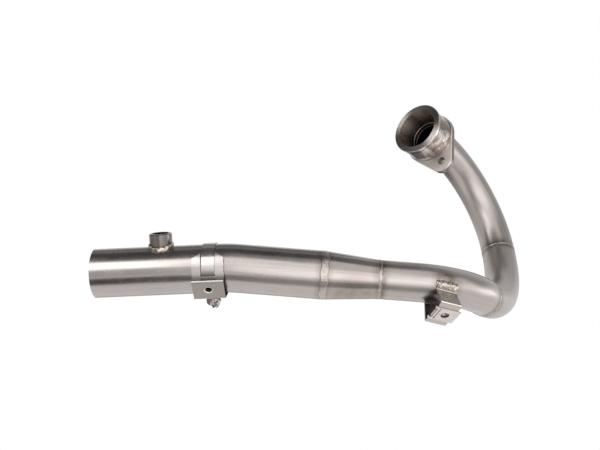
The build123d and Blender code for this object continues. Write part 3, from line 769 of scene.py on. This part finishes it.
def dress_sheets():
    """Sheet steel for the strap and the two brackets."""
    # Painted shade on the strap's lower part and on its cut edges
    painted_shade_heights = tuple(CLAMP.translation.z + height for height in BAND_PAINTED_SHADE)
    wear("clamp_band", sheet_material("band_steel", BAND_STEEL, 0.20, 1, edge=SHADED_CUT_EDGES, painted_shade_heights=painted_shade_heights))
    # Painted shade on the saddle's plate, its step, its cut edges and its faces towards the hollow
    saddle_painted_faces = ((PLATE_FACE, STEEL_DARK, 0.92), (STEP_FACE, BROWN_TINT_AND_SHADE, 0.9))
    wear("saddle_bracket", sheet_material("saddle_steel", SADDLE_STEEL, 0.25, 0, CLAMP @ SADDLE_SHADE_POINT,
                                          saddle_painted_faces, SHADED_CUT_EDGES))
    # Painted shade on the bracket's shelf and its faces towards the hollow; a painted highlight along the
    # fold from shelf to lip
    bracket_painted_faces = ((SHELF_FACE, STEEL_DARK, 0.8), (SHELF_FACE + LIP_FACE, STEEL_BRIGHT, 0.9))
    wear("shield_bracket", sheet_material("bracket_steel", BRACKET_STEEL, 0.25, 0, BRACKET @ BRACKET_SHADE_POINT,
                                          bracket_painted_faces))


def dress_cad():
    """Materials for the CAD nodes that stay visible."""
    dress_pipes()
    wear("head_flange", flange_material())
    dress_sheets()
    for part in ("clamp_screw", "clamp_nut"):
        wear(part, plated_material(part + "_plating", SCREW_PLATING, BROWN_TINT_AND_SHADE, 0.5))
    wear("saddle_nut", plated_material("saddle_nut_plating", NUT_PLATING, STEEL_PALE, 0.15))


def piece(name, points, faces, material, node):
    """Mesh piece that stands for one CAD node."""
    mesh = bpy.data.meshes.new(name)
    mesh.from_pydata(points, [], faces)
    shape = bmesh.new()
    shape.from_mesh(mesh)
    bmesh.ops.recalc_face_normals(shape, faces=shape.faces)
    shape.to_mesh(mesh)
    shape.free()
    for face in mesh.polygons:
        face.use_smooth = True
    mesh.materials.append(material)
    body = bpy.data.objects.new(name, mesh)
    bpy.context.scene.collection.objects.link(body)
    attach(body, "root")
    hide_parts(node)
    return body


def lofted(sections, closed):
    """Points and faces of a skin through rings of points; the ends are capped where it isn't closed."""
    size = len(sections[0])
    points = [point for section in sections for point in section]
    faces = []
    for i in range(len(sections) if closed else len(sections) - 1):
        here, there = i * size, (i + 1) % len(sections) * size
        for j in range(size):
            k = (j + 1) % size
            faces.append((here + j, here + k, there + k, there + j))
    if not closed:
        faces.append(tuple(range(size)))
        faces.append(tuple(range(len(points) - size, len(points))))
    return points, faces


def wander(turn, seed):
    """Slow unevenness of a weld round its length, between about -1 and 1."""
    waves = ((3, 1.0), (7, 2.3), (13, 4.1))
    return sum(sin(count * tau * turn + shift * seed) for count, shift in waves) / len(waves)


def weld_section(low, high, root, out, crown, phase, depth, lumpy=False):
    """Points across a weld from its low toe over the rippled crown to its high toe, and its root."""
    section = []
    for step in range(WELD_ACROSS + 1):
        u = 2 * step / WELD_ACROSS - 1
        scale = (phase + RIPPLE_BOW * u * u) % 1.0
        if lumpy:
            rise = crown * (1 - u * u) * (1 - depth + depth * sqrt(1 - (2 * scale - 1) ** 2))
        else:
            rise = crown * (1 - u * u) ** 1.5 * (1 - depth * scale * scale)
        section.append(low.lerp(high, step / WELD_ACROSS) + rise * out)
    return [*section, root]


def ring_weld(node, station, low_slope, high_slope, radius, sizes, seed, material):
    """Rippled bead round a butt joint; the slopes give how the tube narrows before and after the joint."""
    width, crown, pitch = sizes
    steps = round(tau * radius / pitch) * WELD_STEPS
    sections = []
    for step in range(steps):
        turn = step / steps
        spoke = Vector((cos(tau * turn), sin(tau * turn), 0))
        half = width / 2 * (1 + WIDTH_WANDER * wander(turn, seed))
        shift = PLACE_WANDER * width * wander(turn, seed + 1.7)
        low, high = shift - half, shift + half
        toe_low = (radius - low_slope * low) * spoke + Vector((0, 0, low))
        toe_high = (radius - high_slope * high) * spoke + Vector((0, 0, high))
        root = (radius - WALL / 2) * spoke
        height = crown * (1 + CROWN_WANDER * wander(turn, seed + 3.1))
        section = weld_section(toe_low, toe_high, root, spoke, height, step / WELD_STEPS, SMOOTH_RIPPLE)
        sections.append([station @ point for point in section])
    points, faces = lofted(sections, True)
    return piece(node + "_bead", points, faces, material, node)


def flange_fillet(material):
    """Rippled fillet weld between the tube and the back of the flange."""
    station = ahead(AT["mouth"], -FLANGE_LENGTH)
    steps = FLANGE_RIPPLES * WELD_STEPS
    sections = []
    for step in range(steps):
        turn = step / steps
        spoke = Vector((cos(tau * turn), sin(tau * turn), 0))
        leg = FLANGE_WELD_LEG * (1 + 0.08 * wander(turn, 0.6))
        low = HEADER_R * spoke + Vector((0, 0, -leg))
        high = (HEADER_R + leg) * spoke
        out = (spoke - Vector((0, 0, 1))).normalized()
        root = (HEADER_R - WALL / 2) * spoke + Vector((0, 0, WALL / 2))
        section = weld_section(low, high, root, out, FLANGE_WELD_CROWN, step / WELD_STEPS, DEEP_RIPPLE)
        sections.append([station @ point for point in section])
    points, faces = lofted(sections, True)
    return piece("flange_weld_bead", points, faces, material, "flange_weld")


def on_pipe(reach, turn):
    """Point on the rear pipe at a distance and a direction from the boss axis, seen from the boss frame."""
    x, y = reach * cos(tau * turn), reach * sin(tau * turn)
    return Vector((x, y, sqrt(REAR_R * REAR_R - y * y)))


def boss_fillet(material):
    """Lumpy fillet weld on the saddle line where the boss meets the pipe."""
    steps = BOSS_RIPPLES * WELD_STEPS
    sections = []
    for step in range(steps):
        turn = step / steps
        spoke = Vector((cos(tau * turn), sin(tau * turn), 0))
        sideways = spoke.y * spoke.y
        leg = BOSS_WELD_LEG * (0.8 + 0.15 * wander(turn, 2.2))
        low = on_pipe(BOSS_R + leg * (BOSS_WELD_FOOT[0] + BOSS_WELD_FOOT[1] * sideways), turn)
        corner = on_pipe(BOSS_R, turn)
        high = corner + Vector((0, 0, leg + BOSS_WELD_CLIMB))
        out = (spoke + Vector((0, 0, 1))).normalized()
        root = corner - BOSS_WELD_ROOT * out
        crown = (BOSS_WELD_CROWN[0] + BOSS_WELD_CROWN[1] * sideways) * (1 + 0.45 * wander(turn, 5.0))
        section = weld_section(low, high, root, out, crown, step / WELD_STEPS, BOSS_LUMPS, True)
        sections.append([BOSS @ point for point in section])
    points, faces = lofted(sections, True)
    return piece("boss_weld_bead", points, faces, material, "boss_weld")


def onto_lower_bend(point, radius):
    """Nearest point to a given one on a tube of a given radius round the lower bend's line."""
    start = AT["lower_bend"] @ turned(LOWER[0], "Z")
    inward, hinge = (start.to_3x3().col[i].copy() for i in range(2))
    centre = start.translation + LOWER[1] * inward
    arm = point - centre
    flat = arm - arm.dot(hinge) * hinge
    spine = centre + LOWER[1] * flat.normalized()
    return spine + radius * (point - spine).normalized()


def bracket_fillet(material):
    """Heavy lap weld over the top of the shield bracket's foot, in a few large ripples."""
    steps = BRACKET_RIPPLES * BRACKET_STEPS
    skin = HEADER_R - BRACKET_WELD_SUNK
    out = (BRACKET.to_3x3() @ Vector((0.86, 0.5, 0))).normalized()
    sections = []
    for step in range(steps + 1):
        share = step / steps
        side = (2 * share - 1) * (BRACKET_HALF + BRACKET_WELD_PAST)
        taper = 0.2 + 0.8 * sqrt(1 - (2 * share - 1) ** 8)
        lift = BRACKET_WELD_LIFT * taper * (1 + 0.25 * wander(share, 1.1))
        fall = BRACKET_WELD_FALL * taper * (1 + 0.15 * wander(share, 4.4))
        low = BRACKET @ Vector((FOOT_FACE - BRACKET_WELD_SUNK, FOOT_TOP - fall, side))
        if abs(side) > BRACKET_HALF:
            low = onto_lower_bend(low, skin)
        high = onto_lower_bend(BRACKET @ Vector((HEADER_R, FOOT_TOP + lift, side)), skin)
        corner = BRACKET @ Vector((FOOT_FACE - BRACKET_ROOT_IN, FOOT_TOP - BRACKET_ROOT_DROP, side))
        root = onto_lower_bend(corner, HEADER_R - BRACKET_ROOT_SUNK)
        crown = BRACKET_WELD_CROWN * taper * (1 + 0.3 * wander(share, 2.9))
        sections.append(weld_section(low, high, root, out, crown, step / BRACKET_STEPS, BRACKET_LUMPS, True))
    points, faces = lofted(sections, False)
    return piece("bracket_weld_bead", points, faces, material, "bracket_weld")


def threaded_wall(turn, radius, high, low, thread, turns):
    """Points down the wall of a threaded bore: flat crests, sloping flanks and a plain rim at each end."""
    pitch, depth = thread
    spoke = Vector((cos(tau * turn), sin(tau * turn), 0))
    levels = THREAD_LEVELS * turns
    wall = []
    for level in range(levels + 1):
        height = high + (low - high) * level / levels
        part = (height / pitch - turn) % 1.0
        groove = depth * min(1.0, max(0.0, FLANK_TOP - abs(2 * part - 1) * FLANK_SLOPE))
        reach = radius if level in (0, levels) else radius + groove
        wall.append(reach * spoke + Vector((0, 0, height)))
    return wall


def threaded_boss(material):
    """Sensor boss with its real internal thread, seated on the pipe."""
    top = REAR_R + BOSS_HEIGHT
    upward = Vector((0, 0, 1))
    sections = []
    for step in range(THREAD_AROUND):
        turn = step / THREAD_AROUND
        spoke = Vector((cos(tau * turn), sin(tau * turn), 0))
        section = [
            on_pipe(BOSS_R, turn),
            BOSS_R * spoke + (top - BOSS_CHAMFER) * upward,
            (BOSS_R - BOSS_CHAMFER) * spoke + top * upward,
            (BOSS_BORE_R + BOSS_CHAMFER) * spoke + top * upward,
        ]
        low = on_pipe(BOSS_BORE_R, turn).z
        section += threaded_wall(turn, BOSS_BORE_R, top - BOSS_CHAMFER, low, BOSS_THREAD, BOSS_TURNS)
        sections.append([BOSS @ point for point in section])
    points, faces = lofted(sections, True)
    body = piece("threaded_boss", points, faces, material, "sensor_boss")
    body.data.set_sharp_from_angle(angle=radians(SHARP_ANGLE))
    return body


def flat_plate(outline, openings, low, high):
    """Points and faces of a flat plate with openings, between two levels."""
    loops = [[Vector((x, y, low)) for x, y in loop] for loop in (outline, *openings)]
    points = [point for loop in loops for point in loop]
    count = len(points)
    faces = []
    for a, b, c in tessellate_polygon(loops):
        faces += [(a, b, c), (a + count, b + count, c + count)]
    start = 0
    for loop in loops:
        for i in range(len(loop)):
            j = (i + 1) % len(loop)
            faces.append((start + i, start + j, start + j + count, start + i + count))
        start += len(loop)
    return points + [point + Vector((0, 0, high - low)) for point in points], faces


def circle(radius):
    turns = [tau * i / CIRCLE_POINTS for i in range(CIRCLE_POINTS)]
    return [(radius * cos(turn), radius * sin(turn)) for turn in turns]


def clip_fold(side):
    """One of the two narrow bends that join the clip's leaves at the ends of its window."""
    near, far = side * CLIP_WINDOW[1], side * CLIP_HALF
    inner, outer = CLIP_LEAF - CLIP_SHEET / 2, CLIP_LEAF + CLIP_SHEET / 2
    sections = []
    for step in range(CLIP_FOLD_STEPS + 1):
        angle = tau / 4 - tau / 2 * step / CLIP_FOLD_STEPS
        sections.append([Vector((CLIP_EDGE + reach * cos(angle), across, reach * sin(angle)))
                         for reach, across in ((inner, near), (outer, near), (outer, far), (inner, far))])
    return lofted(sections, False)


def clip_collar():
    """Threaded collar drawn out of the clip's back leaf."""
    top, bottom = -CLIP_LEAF, -CLIP_LEAF - COLLAR_LENGTH
    sections = []
    for step in range(THREAD_AROUND):
        turn = step / THREAD_AROUND
        spoke = Vector((cos(tau * turn), sin(tau * turn), 0))
        section = [COLLAR_R * spoke + Vector((0, 0, height)) for height in (bottom, top)]
        section += threaded_wall(turn, COLLAR_BORE_R, top, bottom, COLLAR_THREAD, COLLAR_TURNS)
        sections.append(section)
    return lofted(sections, True)


def clip_detail(material):
    """Spring clip nut: front leaf with hole and slot, two folds beside a window, back leaf and collar."""
    window, half = CLIP_WINDOW
    low, high, reach = CLIP_SLOT
    front = [(CLIP_FRONT_END, -CLIP_HALF), (CLIP_EDGE, -CLIP_HALF), (CLIP_EDGE, -half), (window, -half),
             (window, half), (CLIP_EDGE, half), (CLIP_EDGE, CLIP_HALF), (CLIP_FRONT_END, CLIP_HALF)]
    back = [(CLIP_BACK_END, y) if x < 0 else (x, y) for x, y in front]
    slot = [(low, -reach), (high, -reach), (high, reach), (low, reach)]
    level = CLIP_LEAF - CLIP_SHEET / 2
    shells = [flat_plate(front, [circle(CLIP_HOLE_R), slot], level, level + CLIP_SHEET),
              flat_plate(back, [circle(COLLAR_BORE_R + COLLAR_THREAD[1])], -level - CLIP_SHEET, -level),
              clip_fold(1), clip_fold(-1), clip_collar()]
    points, faces = [], []
    for shell_points, shell_faces in shells:
        faces += [tuple(len(points) + i for i in face) for face in shell_faces]
        points += [CLIP @ point for point in shell_points]
    body = piece("clip_nut_detail", points, faces, material, "clip_nut")
    body.data.set_sharp_from_angle(angle=radians(SHARP_ANGLE))
    return body


def build_details():
    """Pieces that replace CAD nodes: the rippled welds, the threaded boss and the clip nut."""
    ring = weld_material("ring_weld_metal", RING_WELD_METAL, 0.24, 0.4)
    joint = weld_material("joint_weld_metal", JOINT_WELD_METAL, 0.26, 0.8)
    heavy = weld_material("heavy_weld_metal", HEAVY_WELD_METAL, 0.2, 0.45)
    ring_weld("cone_rear_weld", AT["cone"], 0.0, CONE_SLOPE, REAR_R, CONE_REAR_WELD, 0.4, ring)
    ring_weld("cone_front_weld", AT["lower"], CONE_SLOPE, 0.0, HEADER_R, CONE_FRONT_WELD, 1.3, ring)
    ring_weld("lower_weld", AT["elbow"], 0.0, 0.0, HEADER_R, JOINT_WELD, 2.6, joint)
    ring_weld("upper_weld", AT["upper"], 0.0, 0.0, HEADER_R, JOINT_WELD, 3.9, joint)
    flange_fillet(ring)
    boss_fillet(weld_material("boss_weld_metal", BOSS_WELD_METAL, 0.16, 0.85))
    bracket_fillet(heavy)
    threaded_boss(boss_material())
    clip_detail(sheet_material("clip_steel", CLIP_STEEL, 0.24, 0))


def glow(name, level):
    """Plain grey or white light of one level."""
    material = bpy.data.materials.new(name)
    tree = Tree(material)
    light = tree.add("Emission")
    light.inputs["Color"].default_value = rgb(level, level, level)
    tree.show(light.outputs[0])
    return material


def card(name, low, high, level):
    """Upright or level studio card between two corners, seen only in reflections."""
    flat = next(i for i in range(3) if low[i] == high[i])
    wide, tall = (i for i in range(3) if i != flat)
    corners = []
    for first, second in ((low, low), (high, low), (high, high), (low, high)):
        corner = list(low)
        corner[wide] = first[wide]
        corner[tall] = second[tall]
        corners.append(corner)
    mesh = bpy.data.meshes.new(name)
    mesh.from_pydata(corners, [], [(0, 1, 2, 3)])
    mesh.materials.append(glow(name + "_glow", level))
    plane = bpy.data.objects.new(name, mesh)
    bpy.context.scene.collection.objects.link(plane)
    plane.visible_camera = False
    plane.visible_diffuse = False
    plane.visible_shadow = False


def background_rays(tree):
    """1 for rays that should meet the plain background: seen by the camera, mirrored or refracted."""
    path = tree.add("LightPath")
    shown = tree.math("MAXIMUM", path.outputs["Is Camera Ray"], path.outputs["Is Glossy Ray"])
    return tree.math("MAXIMUM", shown, path.outputs["Is Transmission Ray"])


def studio_floor():
    """White table top whose front edge lies just in front of the header."""
    low = CAD_BOX[0].z - FLOOR_DROP
    corners = [(FLOOR_LEFT, FLOOR_FRONT, low), (FLOOR_RIGHT, FLOOR_FRONT, low),
               (FLOOR_RIGHT, FLOOR_BACK, low), (FLOOR_LEFT, FLOOR_BACK, low)]
    mesh = bpy.data.meshes.new("floor")
    mesh.from_pydata(corners, [], [(0, 1, 2, 3)])
    material = bpy.data.materials.new("floor_white")
    tree = Tree(material)
    paper = tree.add("BsdfDiffuse")
    paper.inputs["Color"].default_value = rgb(FLOOR_WHITE, FLOOR_WHITE, FLOOR_WHITE)
    light = tree.add("Emission")
    tree.put(light.inputs["Strength"], tree.math("MULTIPLY", background_rays(tree), FLOOR_GLOW))
    blend = tree.add("AddShader")
    tree.put(blend.inputs[0], paper.outputs[0])
    tree.put(blend.inputs[1], light.outputs[0])
    tree.show(blend.outputs[0])
    mesh.materials.append(material)
    floor = bpy.data.objects.new("floor", mesh)
    bpy.context.scene.collection.objects.link(floor)


def studio_world():
    """White background, also in reflections, and grey light on dull surfaces."""
    world = bpy.data.worlds.new("studio")
    bpy.context.scene.world = world
    tree = Tree(world)
    white = tree.add("Background")
    white.inputs["Color"].default_value = rgb(1, 1, 1)
    room = tree.add("Background")
    room.inputs["Color"].default_value = rgb(ROOM_GREY, ROOM_GREY, ROOM_GREY)
    light = tree.blend(background_rays(tree), room.outputs[0], white.outputs[0])
    tree.put(tree.add("OutputWorld").inputs["Surface"], light)


def studio():
    studio_world()
    studio_floor()
    for name, low, high, level in CARDS:
        card(name, low, high, level)


def place_camera():
    data = bpy.data.cameras.new("camera")
    data.lens = LENS_MM
    data.sensor_width = SENSOR_MM
    camera = bpy.data.objects.new("camera", data)
    forward = CAMERA_FORWARD.normalized()
    right = forward.cross(CAMERA_UP).normalized()
    upward = right.cross(forward)
    turn = Matrix((right, upward, -forward)).transposed()
    camera.matrix_world = Matrix.Translation(CAMERA_PLACE) @ turn.to_4x4()
    bpy.context.scene.collection.objects.link(camera)
    bpy.context.scene.camera = camera


dress_cad()
build_details()
studio()
place_camera()
bpy.context.scene.view_settings.view_transform = "Standard"
